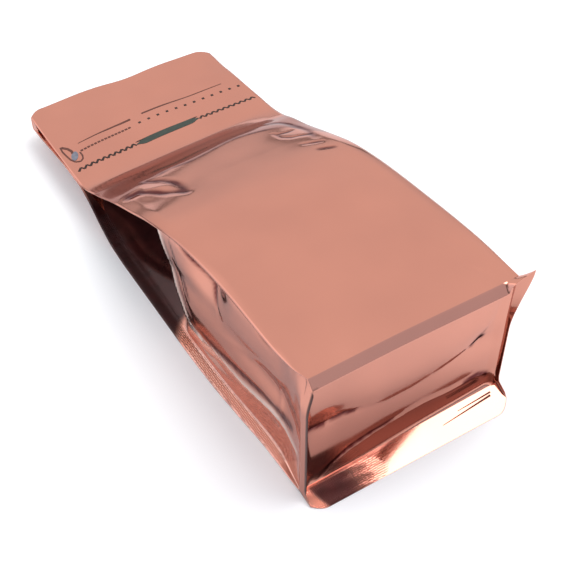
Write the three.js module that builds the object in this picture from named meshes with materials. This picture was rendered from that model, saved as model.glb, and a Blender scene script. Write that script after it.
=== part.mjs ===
// A flat-bottom stand-up pouch of metallised film, lying on its back panel.
// Millimetres, +Z up. The bottom end is at -Y, the pressed-flat mouth at +Y, and the front
// panel faces up. The pouch is one closed solid: cross sections are worked out along its
// length and joined into a skin, with the seal fins standing round the recessed bottom panel.
import * as THREE from 'three';

// ---- Driving dimensions ----
const FLAT_WIDTH = 140;        // pouch pressed flat, over both side seals
const LENGTH = 344;            // bottom fold to the furthest point of the mouth
const DEPTH = 93.5;            // gusset width, the height of the box at its bottom end
const SIDE_SEAL = 7;           // width of the seal fins along the four long edges
const FIN_THICKNESS = 0.9;     // thickness of a free seal fin
const FRONT_FIN = 4.6;         // how far the bottom seal stands out below the front panel
const LEFT_FIN = 6;            // the same at the left gusset
const RIGHT_FIN = 2;         // the same at the right gusset, where it is nearly folded away
const BACK_FIN = 15.5;         // the same at the back panel, where it slopes to the table
const SEALED_FROM = 260;       // above this distance the header is sealed flat
const SEALED_WITHIN = 30;      // length over which the layers of the header come together
const HALF = FLAT_WIDTH / 2;

// ---- Mesh fineness ----
const PANEL_STEPS = 20;        // faces across a panel, between its side seals
const FIN_STEPS = 2;           // faces across a side seal
const WALL_STEPS = 17;         // faces up a gusset
const STATION_RUNS = [[0, 30, 7], [30, 110, 9], [110, 190, 14], [190, 262, 11], [262, 344, 9]];
const FIN_RINGS = 2;           // rings along the standing part of the bottom seal
const PANEL_POINTS = PANEL_STEPS + 2 * FIN_STEPS + 1;
const SIDE_POINTS = WALL_STEPS + 2 * FIN_STEPS + 1;

// A smooth curve through a few [distance from the bottom fold, value] pairs, without overshoot.
function curve(pairs) {
  const n = pairs.length;
  const gap = [];
  const rise = [];
  for (let k = 0; k < n - 1; k += 1) {
    gap.push(pairs[k + 1][0] - pairs[k][0]);
    rise.push((pairs[k + 1][1] - pairs[k][1]) / gap[k]);
  }
  const slope = [rise[0]];
  for (let k = 1; k < n - 1; k += 1) {
    const sameWay = rise[k - 1] * rise[k] > 0;
    const before = 2 * gap[k] + gap[k - 1];
    const after = gap[k] + 2 * gap[k - 1];
    slope.push(sameWay ? (before + after) / (before / rise[k - 1] + after / rise[k]) : 0);
  }
  slope.push(rise[n - 2]);
  return (y) => {
    const at = THREE.MathUtils.clamp(y, pairs[0][0], pairs[n - 1][0]);
    let k = 0;
    while (k < n - 2 && at > pairs[k + 1][0]) k += 1;
    const t = (at - pairs[k][0]) / gap[k];
    const start = (1 + 2 * t) * (1 - t) ** 2 * pairs[k][1] + t * (1 - t) ** 2 * gap[k] * slope[k];
    const end = t * t * (3 - 2 * t) * pairs[k + 1][1] - t * t * (1 - t) * gap[k] * slope[k + 1];
    return start + end;
  };
}

const ease = (from, to, value) => THREE.MathUtils.smoothstep(value, from, to);
const mix = THREE.MathUtils.lerp;
const bump = (value, middle, width) => Math.exp(-(((value - middle) / width) ** 2));
const softMin = (a, b, rounding) => (a + b - Math.sqrt((a - b) ** 2 + rounding ** 2)) / 2;

// ---- The pouch's lines along its length, each as distance from the bottom fold and size ----
const SEAL_WIDTH = curve([[0, 0.4], [12, 3], [30, 6], [60, SIDE_SEAL], [LENGTH, SIDE_SEAL]]);
const GUSSET_DEPTH = curve([[0, 0], [110, 14], [150, 30], [200, 36], [240, 41], [LENGTH, 41]]);
const GUSSET_FOLD = curve([[0, 0.4], [150, 0.2], [200, 0.25], [240, 0.5], [LENGTH, 0.5]]);
const FOOT_HEIGHT = curve([[0, 0.5], [30, 0.3], [60, 0.2], [100, 0.1], [LENGTH, 0.1]]);
const WALL_CREASE = curve([[0, 0.3], [30, 2.5], [60, 1.5], [90, 1], [LENGTH, 1]]);

const LEFT = {
  sign: -1,
  frontHeight: curve([[0, DEPTH], [25, 91.5], [50, 89.2], [82, 85.2], [115, 80.3], [140, 74.8],
    [158, 68.5], [180, 58], [205, 46], [232, 32], [256, 23], [LENGTH, 22.5]]),
  frontReach: curve([[0, 61], [10, 63.8], [28, 65], [82, 63.8], [119, 64.5], [150, 66.4],
    [215, 67.8], [255, HALF - 0.6], [LENGTH, HALF - 0.4]]),
  droop: curve([[0, 0], [25, 1.5], [100, 2.2], [170, 2], [240, 0.2], [LENGTH, 0]]),
  backHeight: curve([[0, 1.5], [12, 0.5], [30, 0], [195, 0], [213, 1.2], [229, 6.5], [245, 15],
    [261, 20], [280, 19.5], [300, 17], [321, 14.5], [LENGTH, 12.8]]),
  backReach: curve([[0, 64.8], [30, 65.2], [60, 67.3], [90, 69.2], [120, HALF - 0.2],
    [190, HALF - 0.2], [255, HALF - 0.6], [LENGTH, HALF - 0.6]]),
  wallReach: curve([[0, 64.6], [12, 61.5], [30, 59], [90, 59.5], [140, 60.5], [175, 60.5],
    [255, 62.4], [LENGTH, 62.4]]),
  ridgeStart: 118,
};

const RIGHT = {
  sign: 1,
  frontHeight: curve([[0, DEPTH], [25, 91.5], [50, 89.2], [82, 85.2], [115, 80.3], [140, 75],
    [155, 70.5], [177, 61.5], [204, 49.6], [222, 42.5], [236, 35.8], [251, 31.5], [284, 28],
    [301, 25.7], [LENGTH, 22]]),
  frontReach: curve([[0, 65.5], [40, 67.4], [170, 67.5], [215, 68], [255, HALF - 0.5],
    [LENGTH, HALF - 0.4]]),
  droop: curve([[0, 0], [25, 1], [100, 1.5], [170, 1.5], [240, 0.2], [LENGTH, 0]]),
  backHeight: curve([[0, 6.5], [12, 3.5], [35, 0.5], [60, 0], [195, 0], [213, 2], [229, 9],
    [245, 20], [261, 27.4], [284, 25.3], [301, 23], [LENGTH, 18.5]]),
  backReach: curve([[0, 66], [30, 66.5], [60, 68], [90, 69.2], [120, HALF - 0.2],
    [190, HALF - 0.2], [LENGTH, HALF - 0.4]]),
  wallReach: curve([[0, 64.6], [12, 62], [30, 60], [90, 60], [175, 60.5], [255, 62.4],
    [LENGTH, 62.4]]),
  ridgeStart: 110,
};

// ---- Gussets ----
const BUCKLE = { at: 104, length: 15, share: 0.8, spread: 0.17, depth: 7 };  // a spot pushed in
const TOP_TURN = 0.8;          // share of its height above which a gusset bends to its seam
const CREASE_SPREAD = 0.1;     // half width of the crease half way up, as a share of the height
const TUCK_LEAN = 46;          // how much further along the tuck starts at the front than the back
const TUCK_LENGTH = 16;        // length along which a gusset turns from taut to tucked in
const TUCK_ROUNDNESS = 1.15;   // 1 would be a sharp fold
const TUCK_CLOSES = 240;       // from here to the header the tuck closes

// How far a gusset stands out from the middle plane, at a share of its height from 0 to 1.
function gussetReach(side, y, share, backSeam, frontSeam) {
  const plane = side.wallReach(y);
  const top = ease(TOP_TURN, 1, share);
  const foot = 1 - ease(0, FOOT_HEIGHT(y), share);
  const buckle = bump(y, BUCKLE.at, BUCKLE.length) * bump(share, BUCKLE.share, BUCKLE.spread);
  let taut = plane + (frontSeam - plane) * top + (backSeam - plane) * foot;
  taut -= WALL_CREASE(y) * bump(share, 0.5, CREASE_SPREAD);
  taut -= BUCKLE.depth * buckle * (1 - ease(0.95, 1, share));
  const fold = GUSSET_FOLD(y);
  const towardsFold = share < fold ? share / fold : (1 - share) / (1 - fold);
  const depth = GUSSET_DEPTH(y) * (1 - (1 - towardsFold) ** TUCK_ROUNDNESS);
  const open = 1 - ease(TUCK_CLOSES, SEALED_FROM, y);
  const tucked = mix(backSeam, frontSeam, share) - depth * open;
  const ridge = side.ridgeStart + TUCK_LEAN * share ** 0.6;
  return mix(taut, tucked, ease(0, TUCK_LENGTH, y - ridge));
}

// ---- Panels ----
const PANEL_SQUARENESS = 2.4;  // how evenly a panel's swelling spreads to its sides
const FIN_DROOP = 1.3;         // how late a seal fin bends down towards its free edge
const CREST_SWELL = 5.5;       // swelling at the crest, where the filled part ends
const CREST_ROUNDING = 0.35;
const SLOPE_END = 248;         // the front panel drops from the crest to here
const SLOPE_SAG = 1.25;        // 1 would be a straight drop
const BODY_SWELL = curve([[0, 0.5], [30, 1.5], [100, 3], [140, 2], [158, 1.6], [180, 2.6],
  [205, 4.8], [213, 5.4], [SLOPE_END, 8], [LENGTH, 9]]);
const HEADER_SWELL = curve([[0, 0], [SLOPE_END, 0], [300, 1.2], [LENGTH, 1]]);
const BACK_SWELL = curve([[0, 0], [215, 0], [262, 2], [LENGTH, 0.5]]);

// Where the crest lies, from the pouch's left side to its right.
const CREST_LINE = curve([[-60, 203], [-44, 208.5], [-27, 211.6], [-13, 210], [6, 213], [21, 216],
  [40, 212.6], [54, 205], [62, 186], [HALF, 171]]);

// Height of the front panel's swelling half way between its seams.
function frontSwell(x, y) {
  const crest = CREST_LINE(x);
  const past = THREE.MathUtils.clamp((y - crest) / (SLOPE_END - crest), 0, 1);
  const falling = CREST_SWELL * (1 - past ** SLOPE_SAG);
  return softMin(BODY_SWELL(y), falling, CREST_ROUNDING) + HEADER_SWELL(y);
}

// Distances across a panel from its left free edge (-1) to its right free edge (+1): each seal
// fin, then the panel between the seams.
function acrossPanel(leftReach, rightReach, seal) {
  const xs = [];
  for (let k = 0; k < FIN_STEPS; k += 1) xs.push(-leftReach + (seal * k) / FIN_STEPS);
  const span = leftReach + rightReach - 2 * seal;
  for (let k = 0; k <= PANEL_STEPS; k += 1) xs.push(-leftReach + seal + (span * k) / PANEL_STEPS);
  for (let k = 1; k <= FIN_STEPS; k += 1) xs.push(rightReach - seal + (seal * k) / FIN_STEPS);
  return xs;
}

function frontPanel(y) {
  const seal = SEAL_WIDTH(y);
  const leftReach = LEFT.frontReach(y);
  const rightReach = RIGHT.frontReach(y);
  const leftSeam = LEFT.frontHeight(y) + LEFT.droop(y);
  const rightSeam = RIGHT.frontHeight(y) + RIGHT.droop(y);
  return acrossPanel(leftReach, rightReach, seal).map((x) => {
    const share = (x + leftReach) / (leftReach + rightReach);
    const leftFin = Math.max(0, (-leftReach + seal - x) / seal) ** FIN_DROOP;
    const rightFin = Math.max(0, (x - rightReach + seal) / seal) ** FIN_DROOP;
    const swell = frontSwell(x, y) * (1 - Math.abs(2 * share - 1) ** PANEL_SQUARENESS);
    const drop = LEFT.droop(y) * leftFin + RIGHT.droop(y) * rightFin;
    return [x, mix(leftSeam, rightSeam, share) + swell - drop];
  });
}

function backPanel(y) {
  const leftReach = LEFT.backReach(y);
  const rightReach = RIGHT.backReach(y);
  return acrossPanel(leftReach, rightReach, SEAL_WIDTH(y)).map((x) => {
    const share = (x + leftReach) / (leftReach + rightReach);
    const swell = BACK_SWELL(y) * (1 - Math.abs(2 * share - 1) ** PANEL_SQUARENESS);
    return [x, mix(LEFT.backHeight(y), RIGHT.backHeight(y), share) + swell];
  });
}

// One side from the back panel's free edge up to the front panel's: the inner face of the back
// seal fin, the gusset, and the under face of the front seal fin. In the header the layers are
// sealed together, so the side closes to a plain edge.
function sideWall(side, y) {
  const seal = SEAL_WIDTH(y);
  const backReach = side.backReach(y);
  const frontReach = side.frontReach(y);
  const low = side.backHeight(y) + FIN_THICKNESS;
  const high = side.frontHeight(y) + side.droop(y) - FIN_THICKNESS;
  const points = [];
  for (let k = 0; k <= FIN_STEPS; k += 1) points.push([backReach - (seal * k) / FIN_STEPS, low]);
  for (let k = 1; k < WALL_STEPS; k += 1) {
    const share = k / WALL_STEPS;
    const reach = gussetReach(side, y, share, backReach - seal, frontReach - seal);
    points.push([reach, mix(low, high, share)]);
  }
  for (let k = 0; k <= FIN_STEPS; k += 1) {
    const out = k / FIN_STEPS;
    points.push([frontReach - seal * (1 - out), high - side.droop(y) * out ** FIN_DROOP]);
  }
  const merged = ease(SEALED_FROM, SEALED_FROM + SEALED_WITHIN, y);
  return points.map(([x, z], k) => {
    const share = k / (points.length - 1);
    return [
      side.sign * mix(x, mix(backReach, frontReach, share), merged),
      mix(z, mix(low, high, share), merged),
    ];
  });
}

// At the bottom fold the seals have run out: the side is a plain edge of evenly spaced points,
// which bends to the back seam over its lowest tenth and to the front seam over its top quarter.
function sideOfFold(side) {
  return Array.from({ length: SIDE_POINTS }, (_, k) => {
    const share = (k + 1) / (SIDE_POINTS + 1);
    const reach = mix(side.backReach(0), side.wallReach(0), ease(0, 0.1, share));
    const x = mix(reach, side.frontReach(0), ease(0.75, 1, share));
    return [side.sign * x, mix(side.backHeight(0), DEPTH, share)];
  });
}

// ---- Mouth ----
const MOUTH_CORNER = { from: 0.86, drop: 6.5 };  // where its rounding starts, as a share of HALF
const MOUTH_WAVES = [{ x: -62, width: 22, drop: 2.2 }, { x: 2, width: 18, drop: 1.6 }];
const MOUTH_DROP = 1.2;        // how far the whole mouth lies inside LENGTH
const MOUTH_FROM = 296;        // sections beyond this follow the mouth's line

// The mouth's edge waves a little and its corners are rounded.
function mouthLine(x, y) {
  const past = Math.max(0, (Math.abs(x) / HALF - MOUTH_CORNER.from) / (1 - MOUTH_CORNER.from));
  let drop = MOUTH_DROP + MOUTH_CORNER.drop * past ** 2;
  MOUTH_WAVES.forEach((wave) => { drop += wave.drop * bump(x, wave.x, wave.width); });
  return y - ease(MOUTH_FROM, LENGTH, y) * drop;
}

// A closed cross section: back panel left to right, right gusset, front panel, left gusset.
function section(y, sideLine = (side) => sideWall(side, y)) {
  const outline = [
    ...backPanel(y),
    ...sideLine(RIGHT),
    ...frontPanel(y).reverse(),
    ...sideLine(LEFT).reverse(),
  ];
  return outline.map(([x, z]) => new THREE.Vector3(x, mouthLine(x, y), z));
}

// ---- The bottom seal: fins standing out round the bottom panel ----
const FRONT_BAND = [DEPTH - 8, DEPTH - 1];  // heights between which the seal turns to the front
const BACK_BAND = [1.2, 5];                 // heights over the back fold where it turns to the back
const BACK_CORNER = { from: 56, width: 9, cut: 5 };  // the back fin gets shorter at its ends
const FRONT_DROP = 4.4;                     // how far the front fin's free edge tips down
const EAR = { x: [44, 66], z: [55, DEPTH], fin: 6, out: 5, up: 7 };  // the corner that stands up
const EAR_CLEAR = [30, 60];                 // the front fin stops tipping down before the ear
const FIN_BEND = 1.2;                       // how late a fin bends on its way out

// Height of the bottom fold along the back panel, which lifts off the table to the right.
function backFold(x) {
  const share = (x + LEFT.backReach(0)) / (LEFT.backReach(0) + RIGHT.backReach(0));
  return mix(LEFT.backHeight(0), RIGHT.backHeight(0), share);
}

// A point of the bottom seal, at a share of its way out. The front fin tips down, its
// right-hand corner stands up as an ear, and the back fin slopes down to the table.
function finPoint(point, share) {
  const front = ease(...FRONT_BAND, point.z);
  const back = 1 - ease(...BACK_BAND, point.z - backFold(point.x));
  const ear = ease(...EAR.x, point.x) * ease(...EAR.z, point.z);
  const past = Math.max(0, (Math.abs(point.x) - BACK_CORNER.from) / BACK_CORNER.width);
  const backLength = BACK_FIN - BACK_CORNER.cut * past ** 2;
  const sideLength = point.x < 0 ? LEFT_FIN : RIGHT_FIN;
  const length = mix(mix(mix(sideLength, FRONT_FIN, front), EAR.fin, ear), backLength, back);
  const tip = FRONT_DROP * front * (1 - ease(...EAR_CLEAR, point.x));
  const bent = share ** FIN_BEND;
  return new THREE.Vector3(
    point.x + EAR.out * ear * share,
    point.y - length * share,
    point.z + (EAR.up * ear - tip) * bent - back * backFold(point.x) * share * (length / BACK_FIN),
  );
}

// The same outline on the inner face of the fin: every side moves in by the fin's thickness.
function insideOf(ring) {
  const acrossScale = 1 - FIN_THICKNESS / LEFT.backReach(0);
  const upScale = 1 - (2 * FIN_THICKNESS) / DEPTH;
  return ring.map((point) => new THREE.Vector3(
    point.x * acrossScale,
    point.y,
    FIN_THICKNESS + point.z * upScale,
  ));
}

// ---- Bottom panel ----
const RECESS = 1.5;            // how far it sits inside the bottom fold
const CREASE_DEPTH = 2.5;      // extra depth of the crease that runs across it
const CREASE_WIDTH = 7;
const CREASE_LINE = curve([[-60, 45], [-38, 44.5], [-10, 39], [5, 39], [30, 44], [45, 49], [60, 50]]);
const DIMPLES = { at: [-48, 50], width: 8, depth: 2 };  // deeper spots near the crease's ends
const ROLL_TOP = curve([[-62, 4], [-44, 12], [-33, 17], [-18, 21], [0, 22], [60, 19]]);
const ROLL_DEPTH = curve([[-62, 4.5], [0, 1.5], [60, -2]]);  // outwards at the left end
const PANEL_ENDS = [50, 63];   // distances from the middle over which all this runs out

// How far inside the bottom fold the bottom panel lies: a crease half way up, and a roll above
// the back fold that swells out at the left and lies back at the right.
function panelRecess(x, z) {
  let dimples = 0;
  DIMPLES.at.forEach((middle) => { dimples += DIMPLES.depth * bump(x, middle, DIMPLES.width); });
  const crease = (CREASE_DEPTH + dimples) * bump(z, CREASE_LINE(x), CREASE_WIDTH);
  const roll = ROLL_DEPTH(x) * (1 - ease(0, ROLL_TOP(x), z));
  return (RECESS + crease - roll) * (1 - ease(...PANEL_ENDS, Math.abs(x)));
}

// ---- Skin ----
function addRing(vertices, ring) {
  const first = vertices.length / 3;
  ring.forEach((point) => vertices.push(point.x, point.y, point.z));
  return first;
}

function joinRings(faces, lower, upper, count) {
  for (let k = 0; k < count; k += 1) {
    const next = (k + 1) % count;
    faces.push(lower + k, upper + next, lower + next);
    faces.push(lower + k, upper + k, upper + next);
  }
}

// Closes the mouth with a strip between the back panel's edge and the front panel's, and a
// fan at each side edge.
function closeMouth(faces, first, count) {
  const back = (column) => first + column;
  const front = (column) => first + 2 * PANEL_POINTS + SIDE_POINTS - 1 - column;
  const last = PANEL_POINTS - 1;
  for (let column = 1; column < last - 1; column += 1) {
    faces.push(back(column), front(column), front(column + 1));
    faces.push(back(column), front(column + 1), back(column + 1));
  }
  const middle = Math.ceil((SIDE_POINTS + 1) / 2);
  for (let row = 0; row <= SIDE_POINTS; row += 1) {
    const leftEdge = first + (count - row) % count;
    const nextLeft = first + count - row - 1;
    const rightEdge = back(last) + row;
    faces.push(leftEdge, nextLeft, row < middle ? back(1) : front(1));
    faces.push(rightEdge + 1, rightEdge, row < middle ? back(last - 1) : front(last - 1));
  }
  faces.push(back(1), first + count - middle, front(1));
  faces.push(back(last - 1), front(last - 1), back(last) + middle);
}

// Spans the bottom panel with a grid whose border is the given ring.
function fillBottom(vertices, faces, ring, first) {
  const columns = PANEL_POINTS;
  const rows = SIDE_POINTS + 2;
  const left = (row) => (ring.length - row) % ring.length;
  const right = (row) => columns - 1 + row;
  const index = (row, column) => {
    if (row === 0) return first + column;
    if (row === rows - 1) return first + 2 * columns + SIDE_POINTS - 1 - column;
    if (column === 0) return first + left(row);
    if (column === columns - 1) return first + right(row);
    return inside + (row - 1) * (columns - 2) + column - 1;
  };
  const inside = vertices.length / 3;
  for (let row = 1; row < rows - 1; row += 1) {
    const [from, to] = [ring[left(row)], ring[right(row)]];
    for (let column = 1; column < columns - 1; column += 1) {
      const share = (ring[column].x - ring[0].x) / (ring[columns - 1].x - ring[0].x);
      const [x, z] = [mix(from.x, to.x, share), mix(from.z, to.z, share)];
      vertices.push(x, panelRecess(x, z), z);
    }
  }
  for (let row = 0; row < rows - 1; row += 1) {
    for (let column = 0; column < columns - 1; column += 1) {
      const [a, b] = [index(row, column), index(row, column + 1)];
      const [c, d] = [index(row + 1, column + 1), index(row + 1, column)];
      faces.push(a, b, c, a, c, d);
    }
  }
}

function pouchGeometry() {
  const vertices = [];
  const faces = [];
  const stations = STATION_RUNS.flatMap(([from, to, steps]) => (
    Array.from({ length: steps }, (_, k) => from + ((to - from) * k) / steps)));
  stations.push(LENGTH);

  // The seal is skinned from the bottom panel's border out along its inner face, and back
  // along its outer face to the bottom fold.
  const fold = section(0, sideOfFold);
  const rings = [];
  for (let k = 0; k <= FIN_RINGS; k += 1) {
    rings.push(insideOf(fold.map((point) => finPoint(point, k / FIN_RINGS))));
  }
  for (let k = FIN_RINGS; k >= 0; k -= 1) {
    rings.push(fold.map((point) => finPoint(point, k / FIN_RINGS)));
  }
  stations.slice(1).forEach((y) => rings.push(section(y)));

  const count = fold.length;
  const firsts = rings.map((ring) => addRing(vertices, ring));
  for (let k = 0; k < rings.length - 1; k += 1) joinRings(faces, firsts[k], firsts[k + 1], count);
  fillBottom(vertices, faces, rings[0], firsts[0]);
  closeMouth(faces, firsts[firsts.length - 1], count);

  const geometry = new THREE.BufferGeometry();
  geometry.setAttribute('position', new THREE.Float32BufferAttribute(vertices, 3));
  geometry.setIndex(faces);
  return geometry;
}

// The origin is the middle of the base: the table is at z = 0.
function centreOnBase(geometry) {
  geometry.computeBoundingBox();
  const middle = geometry.boundingBox.getCenter(new THREE.Vector3());
  geometry.translate(-middle.x, -middle.y, -geometry.boundingBox.min.z);
  geometry.computeVertexNormals();
  return geometry;
}

const film = new THREE.MeshStandardMaterial({ color: 0xd5967f, roughness: 0.22, metalness: 1 });
const body = new THREE.Mesh(centreOnBase(pouchGeometry()), film);
body.name = 'pouch_body';

const pouch = new THREE.Group();
pouch.add(body);

export default pouch;
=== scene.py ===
import bpy
import numpy as np
from mathutils import Matrix, Vector


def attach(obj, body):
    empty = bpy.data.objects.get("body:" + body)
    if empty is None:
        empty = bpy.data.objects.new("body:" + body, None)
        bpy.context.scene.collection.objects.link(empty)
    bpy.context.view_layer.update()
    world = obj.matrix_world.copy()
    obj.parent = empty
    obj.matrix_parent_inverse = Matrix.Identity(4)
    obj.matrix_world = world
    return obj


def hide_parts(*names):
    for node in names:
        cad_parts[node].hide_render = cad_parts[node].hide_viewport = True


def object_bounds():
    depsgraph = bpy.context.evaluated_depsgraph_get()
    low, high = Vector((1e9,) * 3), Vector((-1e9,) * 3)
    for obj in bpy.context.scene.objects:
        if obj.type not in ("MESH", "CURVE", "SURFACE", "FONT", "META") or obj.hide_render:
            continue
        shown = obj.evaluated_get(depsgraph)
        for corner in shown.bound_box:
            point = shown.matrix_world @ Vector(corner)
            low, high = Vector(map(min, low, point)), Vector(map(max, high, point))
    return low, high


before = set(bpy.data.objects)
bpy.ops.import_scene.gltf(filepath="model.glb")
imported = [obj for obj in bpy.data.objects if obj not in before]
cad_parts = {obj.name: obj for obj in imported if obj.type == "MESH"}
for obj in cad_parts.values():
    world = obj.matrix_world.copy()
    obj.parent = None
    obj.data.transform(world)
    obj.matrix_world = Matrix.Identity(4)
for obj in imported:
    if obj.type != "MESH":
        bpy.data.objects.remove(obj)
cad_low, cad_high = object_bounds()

MM = 0.001

# ---- Driving dimensions, as in the solid ----
FLAT_WIDTH = 140.0
LENGTH = 344.0
DEPTH = 93.5
SIDE_SEAL = 7.0
FRONT_FIN = 4.6
LEFT_FIN = 6.0
RIGHT_FIN = 2.0
BACK_FIN = 15.5
SEALED_FROM = 260.0
SEALED_WITHIN = 30.0
HALF = FLAT_WIDTH / 2

# ---- What the film shows beyond the solid ----
FILM = 0.4                # two layers of film sealed together
SLOT = 4.0                # depth of the groove between the front and back seals of the header
SLOT_CLOSES = 8.0         # the groove runs out this far from the mouth
SLOT_SQUARENESS = 6       # how flat the groove's floor is
EDGE_ROUND = 0.3          # at the mouth the edge between those seals stands out this far instead
# The pocket between the two layers at the mouth: depth, and how far it has closed there.
MOUTH_POCKET = [(0, 0.1), (2, 0.15), (5, 0.3), (9, 0.6)]

# ---- Mesh fineness ----
PANEL_STEPS = 100
FIN_STEPS = 5
WALL_STEPS = 45
FIN_RINGS = 6
# Cross sections of the body: from, to and the step between them.
STATION_RUNS = [(0, 40, 1.2), (40, 180, 1.7), (180, 310, 1.1), (310, LENGTH, 1.4)]
PANEL_POINTS = PANEL_STEPS + 2 * FIN_STEPS + 1
SIDE_POINTS = WALL_STEPS + 2 * FIN_STEPS + 1
RING_POINTS = 2 * (PANEL_POINTS + SIDE_POINTS)

FOLD_Y = cad_low.y / MM + BACK_FIN


def place(x, y, z):
    """Rows of points in metres, in the frame, from coordinates in millimetres."""
    x, y, z = np.broadcast_arrays(x, y, z)
    points = np.stack([x.ravel(), y.ravel() + FOLD_Y, z.ravel()], axis=1)
    return points * MM


# ---- Small maths ----
def curve(pairs):
    """A smooth curve through a few (place, value) pairs, without overshoot."""
    at, value = np.array(pairs, float).T
    gap = np.diff(at)
    rise = np.diff(value) / gap
    slope = np.concatenate([rise[:1], np.zeros(len(at) - 2), rise[-1:]])
    for k in range(1, len(at) - 1):
        if rise[k - 1] * rise[k] > 0:
            before = 2 * gap[k] + gap[k - 1]
            after = gap[k] + 2 * gap[k - 1]
            slope[k] = (before + after) / (before / rise[k - 1] + after / rise[k])

    def look_up(y):
        y = np.clip(y, at[0], at[-1])
        k = np.clip(np.searchsorted(at, y, side="right") - 1, 0, len(gap) - 1)
        t = (y - at[k]) / gap[k]
        start = (1 + 2 * t) * (1 - t) ** 2 * value[k] + t * (1 - t) ** 2 * gap[k] * slope[k]
        end = t * t * (3 - 2 * t) * value[k + 1] - t * t * (1 - t) * gap[k] * slope[k + 1]
        return start + end

    return look_up


def ease(start, end, value):
    t = np.clip((value - start) / (end - start), 0, 1)
    return t * t * (3 - 2 * t)


def mix(a, b, share):
    return a + (b - a) * share


def bump(value, middle, width):
    return np.exp(-(((value - middle) / width) ** 2))


def soft_min(a, b, rounding):
    return (a + b - np.sqrt((a - b) ** 2 + rounding ** 2)) / 2


# ---- Forms of relief ----
def ripples(u, v, length, height, seed, count=7):
    """Soft random undulation of about that wavelength, the same on every run."""
    draw = np.random.default_rng(seed)
    total = 0 * (u + v)
    for _ in range(count):
        heading = draw.uniform(0, 2 * np.pi)
        phase = draw.uniform(0, 2 * np.pi)
        pace = 2 * np.pi / (length * draw.uniform(0.7, 1.5))
        total = total + np.sin(pace * (u * np.cos(heading) + v * np.sin(heading)) + phase)
    return height * total / np.sqrt(count)


def dents(u, v, items):
    """Oval swellings, or hollows with a negative height. Each item is its middle, its two half
    widths, the first one's turn from u in degrees, and its height."""
    total = 0 * (u + v)
    for (at_u, at_v), (long, short), turn, height in items:
        cos, sin = np.cos(np.radians(turn)), np.sin(np.radians(turn))
        along = ((u - at_u) * cos + (v - at_v) * sin) / long
        aside = ((v - at_v) * cos - (u - at_u) * sin) / short
        total = total + height * np.exp(-(along ** 2 + aside ** 2))
    return total


def nearest_on(u, v, points):
    """Distance from a line of points, and how far along it the nearest place is."""
    distance = np.full(np.broadcast(u, v).shape, np.inf)
    share = np.zeros_like(distance)
    points = np.array(points, float)
    lengths = np.linalg.norm(np.diff(points, axis=0), axis=1)
    starts = np.concatenate([[0], np.cumsum(lengths)])
    for k, length in enumerate(lengths):
        du, dv = (points[k + 1] - points[k]) / length
        run = np.clip((u - points[k][0]) * du + (v - points[k][1]) * dv, 0, length)
        away = np.hypot(u - points[k][0] - run * du, v - points[k][1] - run * dv)
        closer = away < distance
        distance = np.where(closer, away, distance)
        share = np.where(closer, (starts[k] + run) / starts[-1], share)
    return distance, share


def creases(u, v, items):
    """Ridges, or furrows with a negative height, that fade out at both ends. Each item is a
    line of points, a half width and a height."""
    total = 0 * (u + v)
    for points, width, height in items:
        distance, share = nearest_on(u, v, points)
        fade = np.sqrt(np.clip(4 * share * (1 - share), 0, 1))
        total = total + height * fade * bump(distance, 0, width)
    return total


# ---- The pouch's lines along its length ----
BODY_SWELL = curve([(0, 0.5), (30, 1.5), (100, 3), (140, 2), (158, 1.6), (180, 2.6), (205, 4.8),
                    (213, 5.4), (248, 8), (LENGTH, 9)])
HEADER_SWELL = curve([(0, 0), (248, 0), (300, 1.2), (LENGTH, 1)])
BACK_SWELL = curve([(0, 0), (215, 0), (262, 2), (LENGTH, 0.5)])
SEAL_WIDTH = curve([(0, 0.4), (12, 3), (30, 6), (60, SIDE_SEAL), (LENGTH, SIDE_SEAL)])
GUSSET_DEPTH = curve([(0, 0), (110, 14), (150, 30), (200, 36), (240, 41), (LENGTH, 41)])
GUSSET_FOLD = curve([(0, 0.4), (150, 0.2), (200, 0.25), (240, 0.5), (LENGTH, 0.5)])
FOOT_HEIGHT = curve([(0, 0.5), (30, 0.3), (60, 0.2), (100, 0.1), (LENGTH, 0.1)])
WALL_CREASE = curve([(0, 0.3), (30, 2.5), (60, 1.5), (90, 1), (LENGTH, 1)])


class Side:
    """One gusset with the edges of the front and back panel beside it, each of them a line along
    the pouch's length."""

    def __init__(self, sign, ridge_start, **lines):
        self.sign = sign
        self.ridge_start = ridge_start
        for name, pairs in lines.items():
            setattr(self, name, curve(pairs))


LEFT = Side(
    sign=-1,
    front_height=[(0, DEPTH), (25, 91.5), (50, 89.2), (82, 85.2), (115, 80.3), (140, 74.8),
                  (158, 68.5), (180, 58), (205, 46), (232, 32), (256, 23), (LENGTH, 22.5)],
    front_reach=[(0, 61), (10, 63.8), (28, 65), (82, 63.8), (119, 64.5), (150, 66.4),
                 (215, 67.8), (255, HALF - 0.6), (LENGTH, HALF - 0.4)],
    droop=[(0, 0), (25, 1.5), (100, 2.2), (170, 2), (240, 0.2), (LENGTH, 0)],
    back_height=[(0, 1.5), (12, 0.5), (30, 0), (195, 0), (213, 1.2), (229, 6.5), (245, 15),
                 (261, 20), (280, 19.5), (300, 17), (321, 14.5), (LENGTH, 12.8)],
    back_reach=[(0, 64.8), (30, 65.2), (60, 67.3), (90, 69.2), (120, HALF - 0.2),
                (190, HALF - 0.2), (255, HALF - 0.6), (LENGTH, HALF - 0.6)],
    wall_reach=[(0, 64.6), (12, 61.5), (30, 59), (90, 59.5), (140, 60.5), (175, 60.5),
                (255, 62.4), (LENGTH, 62.4)],
    ridge_start=118,
)

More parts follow.
